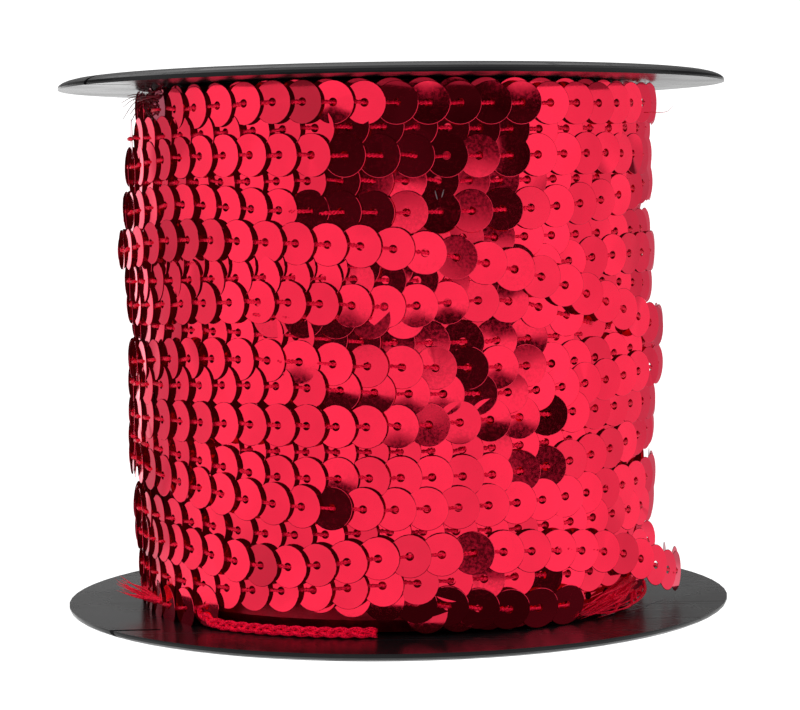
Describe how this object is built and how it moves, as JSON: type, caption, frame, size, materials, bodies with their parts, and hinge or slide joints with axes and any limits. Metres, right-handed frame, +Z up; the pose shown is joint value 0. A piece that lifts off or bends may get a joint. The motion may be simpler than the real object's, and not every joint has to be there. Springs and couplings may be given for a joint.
{
  "type": "spool of sequin trim",
  "caption": "Spool of sequin trim: round sequins stitched edge over edge in a string, wound in rows between two thin flat flanges, for sewing on clothes and costumes.",
  "frame": {"origin": "centre of the lower flange's underside, on the spool's axis", "axes": "+Z up along the spool's axis; -Y is the side that the picture shows"},
  "size_m": [0.1, 0.1, 0.0803],
  "materials": {
    "spool_plastic": "moulded, lightly scratched",
    "sequin_trim": "shiny sequins on thread",
    "sequin_foil": "metallised film",
    "stitch_thread": "twisted filament"
  },
  "bodies": {
    "root": {"spool_lower_half": "spool_plastic", "spool_upper_half": "spool_plastic", "trim_winding": "sequin_trim"}
  },
  "joints": []
}
